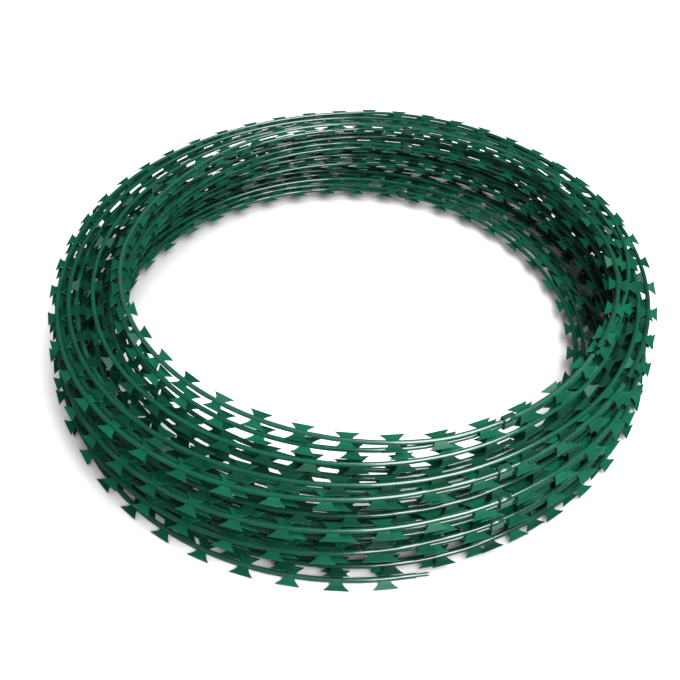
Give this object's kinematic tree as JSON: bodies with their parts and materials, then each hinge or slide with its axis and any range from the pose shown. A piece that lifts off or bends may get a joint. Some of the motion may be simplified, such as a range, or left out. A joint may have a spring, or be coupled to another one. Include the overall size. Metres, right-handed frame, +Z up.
{
  "type": "concertina razor wire coil",
  "caption": "Coil of green-coated barbed razor tape, pressed flat as it is stored, its turns joined by small clips: security fencing to stretch along a wall or fence.",
  "frame": {"origin": "middle of the bundle of turns, on the floor that it lies on", "axes": "+Z up, along the axis of the coil; -Y towards the side where the tape's lower end lies"},
  "size_m": [0.5409, 0.5618, 0.0864],
  "materials": {
    "green_coating": "glossy dark green polymer coating on galvanised steel, slightly uneven at the punched edges",
    "clip_coating": "the same green coating, scuffed where the clips were crimped",
    "core_steel": "green-coated spring wire with a cut end of bare steel"
  },
  "bodies": {
    "root": {"razor_tape": "green_coating", "core_wire_end": "core_steel", "clips_front": "clip_coating", "clips_back": "clip_coating", "clips_left": "clip_coating"}
  },
  "joints": []
}
